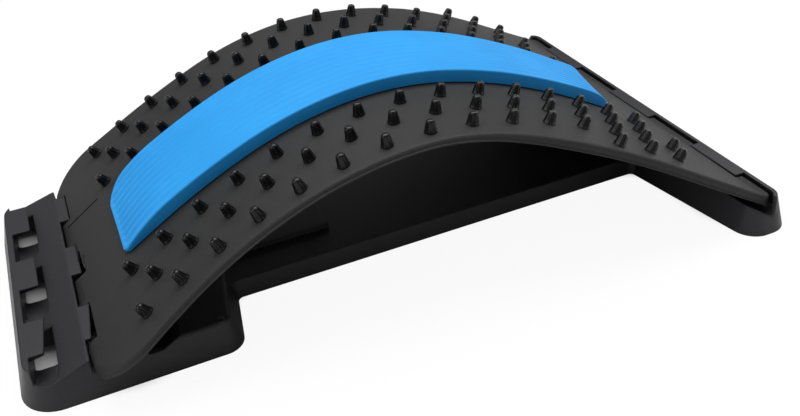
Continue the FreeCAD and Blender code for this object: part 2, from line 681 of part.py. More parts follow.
# The foam strip and the adhesive sheet that holds it.
foam_seat = 2 * size("glue_gap") + size("glue_thickness")
foam_first = size("foam_start") / size("board_length")
foam_last = 1 - size("foam_end") / size("board_length")
taper_share = size("foam_taper") / size("board_length")


def arch_offset(share, offset):
    """The (x, z) point at a share of the board's length, moved out by offset."""
    return arch_line(arch_start, offset, share, share + 1e-6)[0][0]


def plan_strip(label, first, last, half_width, corner):
    """An upright prism with rounded corners over a stretch of the arch."""
    body = new_body(label)
    left, right = arch_offset(first, 0.0)[0], arch_offset(last, 0.0)[0]
    plan = new_sketch(body, label + "_plan", "XY_Plane", [
        (repr(left), f"0 - {half_width}"), (repr(right), f"0 - {half_width}"),
        (repr(right), half_width), (repr(left), half_width)])
    pad(body, plan, "2 * fitted.board_chord", both_ways=True)
    half = value_of(half_width)
    round_uprights(body, label + "_round", corner, [(x, y) for x in (left, right) for y in (-half, half)])
    return body


def foam_band():
    """Side profile of the foam strip, thinner towards both ends, across its width."""
    lower = arch_line(arch_start, foam_seat, foam_first, foam_last)
    upper = arch_line(arch_start, size("foam_thickness"), foam_first + taper_share, foam_last - taper_share)
    shoulder = (size("foam_thickness") * 4 + size("foam_end_thickness")) / 5
    left_tip = arch_offset(foam_first, size("foam_end_thickness"))
    right_tip = arch_offset(foam_last, size("foam_end_thickness"))
    left_slope = [left_tip, arch_offset(foam_first + taper_share / 2, shoulder), upper[0][0]]
    right_slope = [upper[-1][2], arch_offset(foam_last - taper_share / 2, shoulder), right_tip]
    edges = arc_edges(lower) + [line_edge(lower[-1][2], right_tip)] + arc_edges([right_slope] + upper + [left_slope])
    edges.append(line_edge(left_tip, lower[0][0]))
    face = Part.Face(Part.Wire(Part.__sortEdges__(edges)))
    feature = doc.addObject("Part::Feature", "foam_band")
    reach = size("foam_half_width") + size("overrun")
    feature.Shape = face.extrude(Vector(0, 2 * reach, 0))
    feature.Placement = Placement(Vector(0, -reach, 0), Rotation())
    return feature


foam_strip = overlap("foam_strip", foam_band(), plan_strip("foam_plan", foam_first, foam_last, "dims.foam_half_width", "dims.foam_corner"))
glue_in = size("glue_margin") / size("board_length")
glue_band = arch_band("glue_band", size("glue_gap"), size("glue_gap") + size("glue_thickness"), reach,
                      foam_first + glue_in, foam_last - glue_in)
adhesive_sheet = overlap("adhesive_sheet", glue_band, plan_strip(
    "glue_plan", foam_first + glue_in, foam_last - glue_in, "(dims.foam_half_width - dims.glue_margin)",
    "dims.foam_corner - dims.glue_margin"))
doc.recompute()

# The nubs: one faceted tapered form, set square to the arch in staggered rows and columns.
nub_sides = 8
row_count = 29
row_step = (size("board_length") - size("nub_start") - size("nub_end")) / (row_count - 1)
nub_body = new_body("nub_form")
corner_angle = 360 / nub_sides
nub_plan = new_sketch(nub_body, "nub_plan", "XY_Plane", [
    (f"dims.nub_foot * cos({corner_angle * (index + 0.5)} deg)", f"dims.nub_foot * sin({corner_angle * (index + 0.5)} deg)")
    for index in range(nub_sides)])
pad(nub_body, nub_plan, "dims.nub_height")
lean_in(nub_body, "nub_lean", "dims.nub_draft")
plain_nub = nub_body.Tip
tip_edges = []
for number, edge in enumerate(plain_nub.Shape.Edges, start=1):
    if min(vertex.Point.z for vertex in edge.Vertexes) > size("nub_height") - size("glue_gap"):
        tip_edges.append(f"Edge{number}")
nub_tip = nub_body.newObject("PartDesign::Chamfer", "nub_tip")
nub_tip.Base = (plain_nub, tip_edges)
nub_tip.setExpression("Size", "dims.nub_tip_chamfer")
doc.recompute()


def nub_column(label, side, column, rows):
    """One column of nubs on one side of the foam, as separate solids."""
    across = side * (size("nub_first_column") + column * size("nub_column_step"))
    nubs = []
    for row in rows:
        run = size("nub_start") + row * row_step
        (x, z), slope = arch_place(arch_start, run)
        seat = size("glue_gap") / 2
        nub = nub_body.Shape.copy()
        nub.Placement = Placement(Vector(x - seat * math.sin(slope), across, z + seat * math.cos(slope)),
                                  Rotation(Vector(0, 1, 0), -math.degrees(slope)))
        nubs.append(nub)
    feature = doc.addObject("Part::Feature", label)
    feature.Label = label
    feature.Shape = Part.Compound(nubs)
    return feature


even_rows, odd_rows, flare_rows = range(0, row_count, 2), range(1, row_count, 2), range(23, row_count, 2)
column_rows = (("inner", even_rows), ("middle", odd_rows), ("outer", even_rows), ("flare", flare_rows))
nub_nodes = []
for side_name, side in (("near", -1), ("far", 1)):
    for column, (column_name, rows) in enumerate(column_rows):
        nub_nodes.append(nub_column(f"nubs_{side_name}_{column_name}", side, column, rows))
doc.recompute()

# Every object is checked before anything is written.
nodes = [base_frame, arch_board, foam_strip, adhesive_sheet] + nub_nodes
for item in doc.Objects:
    if {"Invalid", "Error"} & set(item.State):
        raise ValueError(f"{item.Label} has failed: {item.State}")
for node in nodes:
    if node.Shape.isNull() or not node.Shape.isValid():
        raise ValueError(f"{node.Label} has no valid shape")
for node in nodes:
    node.Shape.exportStep(f"parts/{node.Label}.step")
    box = node.Shape.BoundBox
    print(f"{node.Label}: {len(node.Shape.Solids)} solids, {node.Shape.Volume / 1000:.1f} cm3, "
          f"x {box.XMin:.1f}..{box.XMax:.1f}, y {box.YMin:.1f}..{box.YMax:.1f}, z {box.ZMin:.1f}..{box.ZMax:.1f}")
print(f"base length {base_length:.1f}, hinge line at x {far_edge - middle:.2f}, z {far_top:.2f}")
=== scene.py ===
import math
import bmesh
import bpy
import numpy as np
from mathutils import Matrix, Vector


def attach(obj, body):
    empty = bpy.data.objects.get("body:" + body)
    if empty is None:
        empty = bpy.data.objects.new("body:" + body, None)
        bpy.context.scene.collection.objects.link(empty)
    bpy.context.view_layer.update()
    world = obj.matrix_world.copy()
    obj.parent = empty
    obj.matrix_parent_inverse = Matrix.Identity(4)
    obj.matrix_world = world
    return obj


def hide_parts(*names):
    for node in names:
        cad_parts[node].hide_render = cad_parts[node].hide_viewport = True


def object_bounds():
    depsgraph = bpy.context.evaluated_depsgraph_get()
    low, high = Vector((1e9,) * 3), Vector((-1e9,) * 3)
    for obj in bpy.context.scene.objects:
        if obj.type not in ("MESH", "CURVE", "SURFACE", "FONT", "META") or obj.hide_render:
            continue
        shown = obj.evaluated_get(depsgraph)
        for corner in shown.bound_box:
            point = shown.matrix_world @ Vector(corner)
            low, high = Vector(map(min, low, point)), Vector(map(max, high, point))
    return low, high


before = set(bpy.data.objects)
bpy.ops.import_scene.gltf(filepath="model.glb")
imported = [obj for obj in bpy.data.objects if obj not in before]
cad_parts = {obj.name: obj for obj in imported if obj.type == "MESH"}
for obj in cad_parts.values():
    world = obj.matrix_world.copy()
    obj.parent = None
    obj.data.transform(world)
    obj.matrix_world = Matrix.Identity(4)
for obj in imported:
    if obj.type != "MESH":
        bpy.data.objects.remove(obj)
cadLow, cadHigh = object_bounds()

mm = 0.001
baseLength = (cadHigh.x - cadLow.x) / mm


# shader values as Python expressions
class ShadeValue:
    # wraps one socket; sums, differences and products of it add their own Math nodes
    def __init__(self, tree, socket):
        self.tree, self.socket = tree, socket

    def maths(self, operation, *values):
        node = self.tree.nodes.new("ShaderNodeMath")
        node.operation = operation
        for place, value in enumerate(values):
            plug(self.tree, node.inputs[place], value)
        return ShadeValue(self.tree, node.outputs[0])

    def __add__(self, other): return self.maths("ADD", self, other)
    def __radd__(self, other): return self.maths("ADD", other, self)
    def __sub__(self, other): return self.maths("SUBTRACT", self, other)
    def __rsub__(self, other): return self.maths("SUBTRACT", other, self)
    def __mul__(self, other): return self.maths("MULTIPLY", self, other)
    def __rmul__(self, other): return self.maths("MULTIPLY", other, self)


def plug(tree, socket, value):
    # links a wrapped socket, or sets a plain value; None leaves the socket alone
    if isinstance(value, ShadeValue):
        tree.links.new(value.socket, socket)
    elif value is not None:
        socket.default_value = value


class Finish:
    # the nodes of one material or of the world: add() makes any node from its type, settings and socket values
    def __init__(self, owner):
        owner.use_nodes = True
        self.owner, self.tree = owner, owner.node_tree
        self.tree.nodes.clear()

    def add(self, kind, settings=None, output=0, **values):
        # a socket is given by its name, with _ for a space, or by i and its number
        node = self.tree.nodes.new("ShaderNode" + kind)
        for key, setting in (settings or {}).items():
            setattr(node, key, setting)
        for key, value in values.items():
            plug(self.tree, node.inputs[int(key[1:]) if key[1:].isdigit() else key.replace("_", " ")], value)
        return ShadeValue(self.tree, node.outputs[output]) if node.outputs else None

    def objectPlace(self):
        return self.add("TexCoord", output="Object")

    def noise(self, place, scale, detail=2.0, rough=0.5):
        return self.add("TexNoise", Vector=place, Scale=scale, Detail=detail, Roughness=rough)

    def mix(self, factor, a, b):
        return self.add("Mix", {"data_type": "RGBA"}, 2, i0=factor, i6=a, i7=b)

    def finish(self, surface, kind="OutputMaterial"):
        self.add(kind, Surface=surface)
        return self.owner


def colour(*screen):
    # a screen colour, three numbers from 0 to 255, as linear light
    parts = [value / 255 for value in screen]
    return tuple(v / 12.92 if v <= 0.04045 else ((v + 0.055) / 1.055) ** 2.4 for v in parts) + (1.0,)


# meshes from arrays, in mm
def gridFaces(rows, columns, closed=False):
    # quads between neighbouring rows and columns of a grid, the last column joined to the first where closed
    row, column = np.meshgrid(np.arange(rows - 1), np.arange(columns if closed else columns - 1), indexing="ij")
    here, after = row * columns + column, row * columns + (column + 1) % columns
    return np.stack([here, after, after + columns, here + columns], -1).reshape(-1, 4)


def ringFaces(rings, count, copies=1):
    # quads between rings of count points, closed by one face over the first and one over the last ring of each copy
    sides = gridFaces(rings, count, True)
    ends = np.array([np.arange(count)[::-1], np.arange(count) + (rings - 1) * count])
    starts = np.arange(copies)[:, None, None] * rings * count
    return (sides + starts).reshape(-1, 4).tolist() + (ends + starts).reshape(-1, count).tolist()


def readPoints(mesh):
    at = np.zeros(len(mesh.vertices) * 3)
    mesh.vertices.foreach_get("co", at)
    return at.reshape(-1, 3)


def addPiece(name, mesh, material, body):
    # a smooth object of one material that rides on a body
    mesh.materials.append(material)
    mesh.polygons.foreach_set("use_smooth", np.full(len(mesh.polygons), True))
    mesh.update()
    piece = bpy.data.objects.new(name, mesh)
    bpy.context.collection.objects.link(piece)
    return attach(piece, body)


def newPiece(name, points, faces, material, body):
    mesh = bpy.data.meshes.new(name)
    mesh.from_pydata((points * mm).tolist(), [], faces)
    mesh.validate()
    piece = addPiece(name, mesh, material, body)
    pointOut(piece)
    return piece


def pointOut(piece):
    # merges points that coincide and turns every face outwards
    work = bmesh.new()
    work.from_mesh(piece.data)
    bmesh.ops.remove_doubles(work, verts=work.verts, dist=1e-7)
    bmesh.ops.recalc_face_normals(work, faces=work.faces)
    work.to_mesh(piece.data)
    work.free()


def evenShade(piece, keepSharp=False):
    # large faces keep an even shade beside narrow rounded ones
    shade = piece.modifiers.new("evenShade", "WEIGHTED_NORMAL")
    shade.weight, shade.keep_sharp = 100, keepSharp


# the arch, the board's top line seen from the side: tangent arcs, in mm and degrees
arch = {
    "length": 370.0,
    "startAngle": 34.9,
    "edge": 33.3,  # where it starts, from the narrow foot's outer edge
    "edgeTop": 15.0,
    "spans": (0.1490, 0.1441, 0.1158, 0.1741, 0.1155, 0.1439, 0.1576),  # shares of the length
    "turns": (3.40, 8.73, 12.60, 23.09, 9.28, 6.94, -1.21),
}


def archPoint(run, offset=0.0):
    # place and slope at a run along the chain of arcs. Each arc turns evenly, so x grows by the fall of the sine
    # over the bend and z by the rise of the cosine over it; offset goes square to the line
    run, offset = np.broadcast_arrays(np.asarray(run, float), np.asarray(offset, float))
    slope, done = math.radians(arch["startAngle"]), 0.0
    x, z = arch["edge"] - baseLength / 2, arch["edgeTop"]
    outX, outZ, outSlope = np.zeros(run.shape), np.zeros(run.shape), np.zeros(run.shape)
    for place, (share, turn) in enumerate(zip(arch["spans"], arch["turns"])):
        length = share * arch["length"]
        bend = math.radians(turn) / length
        reached = (run >= done) | (place == 0)
        turned = slope - bend * (run - done)
        outX = np.where(reached, x + (math.sin(slope) - np.sin(turned)) / bend, outX)
        outZ = np.where(reached, z + (np.cos(turned) - math.cos(slope)) / bend, outZ)
        outSlope = np.where(reached, turned, outSlope)
        endSlope = slope - bend * length
        x += (math.sin(slope) - math.sin(endSlope)) / bend
        z += (math.cos(endSlope) - math.cos(slope)) / bend
        slope, done = endSlope, done + length
    return outX - offset * np.sin(outSlope), outZ + offset * np.cos(outSlope), outSlope


print("stage: helpers ready")

# moulded plastics; grain and clouds are scales on metres, edge and grainHeight are in metres
plastics = {
    "board": {"tone": colour(37, 37, 37), "rough": 0.60, "grain": 1300.0, "depth": 0.60, "speckle": 0.60, "shine": 0.26},
    "base": {"tone": colour(31, 31, 34), "rough": 0.46, "grain": 1500.0, "depth": 0.70, "speckle": 0.65, "shine": 0.32,
             "edge": 0.0012},
    "nub": {"tone": colour(5, 5, 6), "rough": 0.27, "grain": 900.0, "depth": 0.08, "speckle": 0.2, "shine": 0.30},
    "clouds": 22.0,
    "shades": (0.62, 1.38),  # darkest and lightest share of the tone
    "speckleSpread": 2.2,
    "speckleDrop": 0.6,
    "roughSpread": 0.12,
    "grainHeight": 0.0002,
}


def mouldedPlastic(name, kind):
    # tone = slow clouds plus fine speckle, as a place between two shades; roughness and bump follow the fine grain,
    # and where an edge is given the bump sits on a normal that is rounded over it
    own = plastics[kind]
    f = Finish(bpy.data.materials.new(name))
    at = f.objectPlace()
    fine = f.noise(at, own["grain"], 3.0, 0.6)
    speckle = fine * plastics["speckleSpread"] - plastics["speckleDrop"]
    mixed = f.noise(at, plastics["clouds"], 3.0) * (1 - own["speckle"]) + speckle * own["speckle"]
    tint = f.mix(mixed, *(tuple(share * v for v in own["tone"][:3]) + (1,) for share in plastics["shades"]))
    rounded = f.add("Bevel", {"samples": 6}, Radius=own["edge"]) if "edge" in own else None
    bump = f.add("Bump", Height=fine, Strength=own["depth"], Distance=plastics["grainHeight"], Normal=rounded)
    rough = own["rough"] - plastics["roughSpread"] / 2 + plastics["roughSpread"] * fine
    return f.finish(f.add("BsdfPrincipled", Base_Color=tint, Roughness=rough, Normal=bump, Specular_IOR_Level=own["shine"]))


boardPlastic = mouldedPlastic("matteBoardPlastic", "board")
basePlastic = mouldedPlastic("satinBasePlastic", "base")
nubPlastic = mouldedPlastic("glossyNubPlastic", "nub")

# the tacky sheet under the foam keeps its CAD mesh
film = {"tones": (colour(196, 190, 168), colour(214, 208, 188)), "clouds": 60.0, "rough": 0.35}


def filmFinish():
    # clouds between two pale tones
    f = Finish(bpy.data.materials.new("tackyFilm"))
    tint = f.mix(f.noise(f.objectPlace(), film["clouds"]), *film["tones"])
    return f.finish(f.add("BsdfPrincipled", Base_Color=tint, Roughness=film["rough"]))


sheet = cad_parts["adhesive_sheet"].data
sheet.materials.clear()
sheet.materials.append(filmFinish())
print("stage: plastics and sheet ready")

# the base moulding: a copy of the CAD solid with eased edges
baseForm = {
    "merge": 0.002,  # mm
    "flat": 0.6,  # degrees within which faces are one
    "ease": 0.5,
    "easeSteps": 2,
    "sharp": 28.0,  # degrees from which an edge is eased
}
# the narrow foot's wings: level, starting close behind the catches, with wide soft edges;
# mm, from the narrow foot's outer edge, the middle line and the floor
wing = {
    "from": 69.0,
    "to": 104.0,
    "inner": 43.9,
    "outer": 78.0,
    "above": 15.5,
    "level": 15.9,
    "front": (76.0, 82.0),  # what starts between these moves towards the catches
    "back": 8.0,
    "round": 4.5,
    "roundSteps": 6,
    "slack": 0.05,
    "corner": 0.5,  # radians from which an edge is a rim
}


def levelWings(at):
    # each wing vertex goes to one height, and the front ones move towards the catches
    x, y, z = at[:, 0] + baseLength / 2, np.abs(at[:, 1]), at[:, 2]
    inPlan = (x > wing["from"]) & (x < wing["to"]) & (y > wing["inner"]) & (y < wing["outer"])
    inWing = inPlan & (z > wing["above"])
    first, last = wing["front"]
    at[:, 0] -= np.where(inWing & (x > first) & (x < last), wing["back"], 0.0)
    at[:, 2] = np.where(inWing, wing["level"], z)
    return at


def wingRim(edge):
    # true for an edge between a wing's level top and its outer wall
    middle = sum((corner.co for corner in edge.verts), Vector()) / (2 * mm)
    inWing = wing["from"] < middle.x + baseLength / 2 < wing["to"] and abs(middle.y) > wing["inner"]
    level = all(abs(corner.co.z / mm - wing["level"]) < wing["slack"] for corner in edge.verts)
    return inWing and level and len(edge.link_faces) == 2 and edge.calc_face_angle() > wing["corner"]


def baseMoulding():
    # merged, its flat faces made whole, its wings levelled, then the wing rims and after them all sharp edges rounded
    flat = math.radians(baseForm["flat"])
    work = bmesh.new()
    work.from_mesh(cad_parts["base_frame"].data)
    bmesh.ops.remove_doubles(work, verts=work.verts, dist=baseForm["merge"] * mm)
    bmesh.ops.dissolve_limit(work, angle_limit=flat, verts=work.verts, edges=work.edges)
    mesh = bpy.data.meshes.new("baseMoulding")
    work.to_mesh(mesh)
    mesh.vertices.foreach_set("co", (levelWings(readPoints(mesh) / mm) * mm).ravel())
    mesh.update()
    work.clear()
    work.from_mesh(mesh)
    bmesh.ops.dissolve_limit(work, angle_limit=flat, verts=work.verts, edges=work.edges)
    rims = [edge for edge in work.edges if wingRim(edge)]
    bmesh.ops.bevel(work, geom=rims, offset=wing["round"] * mm, offset_type="OFFSET", segments=wing["roundSteps"],
                    profile=0.5, affect="EDGES", clamp_overlap=True)
    work.to_mesh(mesh)
    work.free()
    piece = addPiece("baseMoulding", mesh, basePlastic, "base")
    bevel = piece.modifiers.new("easedEdges", "BEVEL")
    bevel.width, bevel.segments = baseForm["ease"] * mm, baseForm["easeSteps"]
    bevel.limit_method, bevel.angle_limit = "ANGLE", math.radians(baseForm["sharp"])
    evenShade(piece)
    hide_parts("base_frame")


baseMoulding()

# a small round pip on the narrow foot's near wing, placed from that foot's outer edge, in mm
pip = {"place": (91.0, -74.2, 15.3), "radius": 2.3, "height": 0.9, "sunk": 0.4, "rings": 7, "sides": 40}


def footPip():
    # rings of a low dome over a sunk foot: width is the root of the cosine of a quarter turn, height its sine
    rise = np.linspace(0, math.pi / 2, pip["rings"])
    turn = np.linspace(0, 2 * math.pi, pip["sides"], endpoint=False)
    width = pip["radius"] * np.concatenate([[1.0], np.cos(rise) ** 0.5])[:, None]
    height = np.concatenate([[-pip["sunk"]], pip["height"] * np.sin(rise)])[:, None]
    points = np.stack([width * np.cos(turn), width * np.sin(turn), height + 0 * turn], -1).reshape(-1, 3)
    points += np.array(pip["place"]) - [baseLength / 2, 0, 0]
    piece = newPiece("footPip", points, ringFaces(len(width), pip["sides"]), basePlastic, "base")


footPip()
print("stage: base ready")

# the board's plan outline and section, in mm from the narrow foot's outer edge and the middle line
boardForm = {
    "left": 33.3,
    "right": 374.0,
    "waistStart": 117.9,
    "waistEnd": 189.98,
    "flareStart": 260.03,
    "waistHalf": 87.3,
    "flareHalf": 95.8,
    "rightHalf": 119.0,
    "leftSweep": 305.0,  # radius of the side before the waist
    "flareSweep": 292.0,  # and after it
    "leftCorner": 21.0,
    "rightCorner": 5.0,
    "outlineSteps": (26, 90, 14),  # narrow corner, side, wide corner
    "thickness": 3.0,
    "rimPlaces": (33.0, 80.0, 110.0, 150.0, 200.0, 230.0, 260.0, 372.0),
    "rimDepths": (3.8, 3.4, 3.3, 3.1, 3.3, 4.0, 5.0, 5.0),
    "nearPlaces": (60.0, 120.0, 210.0, 270.0),
    "nearShift": (0.0, 1.6, 1.6, 0.0),  # how far the near side comes in there
    "rimStart": 76.0,
    "rimBlend": 1.5,
    "rimWall": 2.5,
    "endWall": 0.9,
    "wallEase": (0.3, 0.2),
    "roundStart": 72.0,
    "roundBlend": (12.0, 4.5),  # from the middle line, from the wide end
    "roundAngles": (0, 18, 36, 54, 72, 90),
    "sideRound": 2.4,
    "endRound": 0.4,
    "leftBelowRound": 1.3,
    "footEase": 0.5,
    "bead": 0.8,
    "footRings": ((0, 0, 1.2), (0.7, 0, 1.0), (1, 0, 0.7), (1, 0, 0.45), (0.7, 0.3, 0.15), (0, 1, 0)),  # bead, ease, height
    "lowest": 12.1,
    "hooks": ((-48.4, 0.5), (3.5, 2.4), (55.4, 0.5)),  # middle, extra gap
    "hookHalf": 12.6,
    "hookFarGap": 0.5,
    "hookEdge": 37.6,
    "tabs": ((-95.2, -57.9), (-20.0, 20.0), (57.9, 95.2)),
    "tabEdge": 369.0,
    "steps": ((-31.0, -13.9), (20.9, 38.0)),  # small lowered fields beside the hooks
    "stepPlace": 36.1,
    "stepDepth": 0.4,
    "stepBlend": 0.08,
    "slice": 4.0,
}
score = {"from": 35.5, "to": 54.5, "across": 36.2, "half": 0.70, "deep": 2.0}  # the scored line near the narrow end


def smoothShare(share):
    # 0 to 1 with level ends, 3 s squared - 2 s cubed
    share = np.clip(share, 0, 1)
    return share * share * (3 - 2 * share)


def flareRise():
    return (boardForm["rightHalf"] - boardForm["flareHalf"]) / (boardForm["right"] - boardForm["flareStart"])


def sideHalf(x):
    # half width along the side: an arc that ends square to the waist, the straight waist, a second arc, the straight flare
    form = boardForm
    before = np.clip(form["waistStart"] - x, 0, None)
    past = np.clip(x - form["waistEnd"], 0, form["flareStart"] - form["waistEnd"])
    toWaist = form["waistHalf"] + form["leftSweep"] - np.sqrt(form["leftSweep"] ** 2 - before ** 2)
    toFlare = form["flareSweep"] - np.sqrt(form["flareSweep"] ** 2 - past ** 2)
    return toWaist + toFlare + np.clip(x - form["flareStart"], 0, None) * flareRise()


def boardOutline():
    # the outline turning left: narrow end with its notches, near side, wide end with its notches, far side;
    # each corner is an arc that touches the end line and the side
    form = boardForm
    leftSteps, sideSteps, rightSteps = form["outlineSteps"]
    r, reach = form["leftCorner"], form["leftSweep"] + form["leftCorner"]
    cx = form["left"] + r
    cy = form["waistHalf"] + form["leftSweep"] - math.sqrt(reach ** 2 - (form["waistStart"] - cx) ** 2)
    turn = np.linspace(math.pi, math.pi / 2 - math.asin((form["waistStart"] - cx) / reach), leftSteps)
    leftArc = np.stack([cx + r * np.cos(turn), cy + r * np.sin(turn)], -1)
    r, rise = form["rightCorner"], flareRise()
    cx = form["right"] - r
    cy = float(sideHalf(np.array(cx))) - r * math.hypot(1, rise)
    turn = np.linspace(math.pi / 2 + math.atan(rise), 0, rightSteps)
    rightArc = np.stack([cx + r * np.cos(turn), cy + r * np.sin(turn)], -1)
    x = np.linspace(leftArc[-1, 0], rightArc[0, 0], sideSteps)[1:-1]
    side = np.concatenate([leftArc, np.stack([x, sideHalf(x)], -1), rightArc])
    narrow, wide = [], []
    for middle, gap in reversed(form["hooks"]):
        low, high = middle - form["hookHalf"] - gap, middle + form["hookHalf"] + form["hookFarGap"]
        edge = form["hookEdge"] + gap
        narrow += [(form["left"], high), (edge, high), (edge, low), (form["left"], low)]
    for low, high in form["tabs"]:
        wide += [(form["right"], low), (form["tabEdge"], low), (form["tabEdge"], high), (form["right"], high)]
    near = side * [1, -1]
    near[:, 1] += np.interp(side[:, 0], form["nearPlaces"], form["nearShift"])
    return np.concatenate([narrow, near, wide, side[::-1]])


def boardRings():
    # rings around the outline, each moved in by its inset and lowered by its height: over the rounded top edge,
    # down the side, round the rim's foot with its bead, and up inside it
    form = boardForm
    plan = boardOutline()
    ahead = np.roll(plan, -1, 0) - plan
    ahead /= np.linalg.norm(ahead, axis=1)[:, None]
    normal = np.stack([-ahead[:, 1], ahead[:, 0]], -1)
    before = np.roll(normal, 1, 0)
    inward = (normal + before) / (1 + (normal * before).sum(1))[:, None]
    away, toWide = np.abs(plan[:, 1]), form["right"] - plan[:, 0]
    sideBlend, wideBlend = form["roundBlend"]
    sideShare = smoothShare(np.minimum((away - form["roundStart"]) / sideBlend, toWide / wideBlend))
    rimShare = smoothShare(np.minimum(away - form["rimStart"], toWide) / form["rimBlend"])
    rimDepth = np.interp(plan[:, 0], form["rimPlaces"], form["rimDepths"])
    depth = form["thickness"] + (rimDepth - form["thickness"]) * rimShare
    most = np.minimum(form["sideRound"], rimDepth - form["leftBelowRound"])
    r = form["endRound"] + (most - form["endRound"]) * sideShare
    wall = form["endWall"] + (form["rimWall"] - form["endWall"]) * rimShare
    bead = form["bead"] * rimShare
    wallIn, wallUp = form["wallEase"]
    rings = [(r * (1 - math.sin(a)), -r * (1 - math.cos(a))) for a in np.radians(form["roundAngles"])]
    rings += [(inShare * form["footEase"] - outShare * bead, up - depth) for outShare, inShare, up in form["footRings"]]
    rings += [(wall - wallIn, -depth), (wall, wallUp * rimShare - depth), (wall, 0 * wall - form["thickness"])]
    return [np.column_stack([plan + inward * inset[:, None], height]) for inset, height in rings]


def flatBoard():
    # the rings joined and both faces filled, then sliced across, so that the board can follow the arch
    rings = boardRings()
    blend = (-boardForm["stepBlend"], boardForm["stepBlend"])
    work = bmesh.new()
    corners = [work.verts.new(point) for point in np.concatenate(rings)]
    for face in ringFaces(len(rings), len(rings[0])):
        work.faces.new([corners[index] for index in face[::-1]])
    bmesh.ops.triangulate(work, faces=[face for face in work.faces if len(face.verts) > 4])
    cuts = [(0, x) for x in np.arange(boardForm["left"] + 1, boardForm["right"], boardForm["slice"])]
    cuts += [(0, boardForm["stepPlace"] + shift) for shift in blend]
    cuts += [(1, y + shift) for field in boardForm["steps"] for y in field for shift in blend]
    cuts += [(1, score["across"] + shift) for shift in (-score["half"], 0, score["half"])]
    cuts += [(0, score["from"]), (0, score["to"])]
    for axis, place in cuts:
        square = np.eye(3)[axis]
        bmesh.ops.bisect_plane(work, geom=work.verts[:] + work.edges[:] + work.faces[:], plane_co=square * place,
                               plane_no=square, dist=1e-4)
    mesh = bpy.data.meshes.new("archedBoard")
    work.to_mesh(mesh)
    work.free()
    return mesh


def archedBoard():
    # the flat board set down on the arch, z = arch + height / cos of the slope, with its steps and the scored line lowered;
    # the scored line's faces stay flat
    form = boardForm
    mesh = flatBoard()
    x, y, h = readPoints(mesh).T.copy()
    for low, high in form["steps"]:
        h -= form["stepDepth"] * ((x < form["stepPlace"]) & (y > low) & (y < high) & (h > -1))
    inLine = (np.abs(y - score["across"]) < 0.05) & (x > score["from"] + 0.1) & (x < score["to"] - 0.1)
    h -= score["deep"] * (inLine & (h > -0.1))
    archX, archZ, slope = archPoint(np.linspace(0, arch["length"], 2000))
    archX = archX + baseLength / 2
    z = np.interp(x, archX, archZ) + h / np.cos(np.interp(x, archX, slope))
    placed = np.stack([x - baseLength / 2, y, np.maximum(z, form["lowest"])], -1)
    mesh.vertices.foreach_set("co", (placed * mm).ravel())
    piece = addPiece("archedBoard", mesh, boardPlastic, "board")
    centres = np.zeros(len(mesh.polygons) * 3)
    mesh.polygons.foreach_get("center", centres)
    x, y = centres[0::3] / mm + baseLength / 2, centres[1::3] / mm
    inScore = (np.abs(y - score["across"]) < score["half"]) & (x > score["from"]) & (x < score["to"])
    mesh.polygons.foreach_set("use_smooth", ~inScore)
    pointOut(piece)
    evenShade(piece, True)
    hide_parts("arch_board")


archedBoard()
print("stage: board ready")

# the foam strip, in mm along the board and from its middle line
foam = {
    "start": 33.0,
    "endMargin": 33.0,
    "endSkew": 11.0,  # the wide end reaches further on the far side
    "skewPower": 6,
    "halfWidth": 29.2,
    "corners": ((4.0, 17.0), (10.0, 13.0)),  # near and far, at the narrow end, then at the wide end
    "thickness": 7.0,
    "endThickness": 2.2,
    "taper": 34.0,
    "wideTaper": (26.0, 9.0),  # near side, far side
    "seat": 0.5,
    "ribs": 11,
    "ribDepth": 0.20,
    "ribDepthEnd": 0.85,
    "ribFade": 60.0,
    "ribInset": 1.5,
    "ribBlend": 2.0,
    "edgeRound": 0.8,
    "alongSteps": 301,
    "acrossSteps": 133,
    "crowding": 1.6,  # how much closer the steps are at the ends
    "tones": (colour(9, 108, 180), colour(36, 150, 220)),
    "toneMiddle": 0.516,
    "cloudShare": 0.45,
    "clouds": 30.0,
    "cells": 1500.0,
    "cellDepth": 0.12,
    "cellHeight": 0.0002,
    "rough": 0.62,
    "shine": 0.25,
}


def foamFinish():
    # closed-cell foam: fine cells in the bump, and clouds between two blues
    f = Finish(bpy.data.materials.new("blueFoam"))
    at = f.objectPlace()
    cells = f.add("TexVoronoi", Vector=at, Scale=foam["cells"])
    tint = f.mix(f.noise(at, foam["clouds"]) * foam["cloudShare"] + foam["toneMiddle"], *foam["tones"])
    bump = f.add("Bump", Height=cells, Strength=foam["cellDepth"], Distance=foam["cellHeight"])
    return f.finish(f.add("BsdfPrincipled", Base_Color=tint, Roughness=foam["rough"], Normal=bump,
                          Specular_IOR_Level=foam["shine"]))


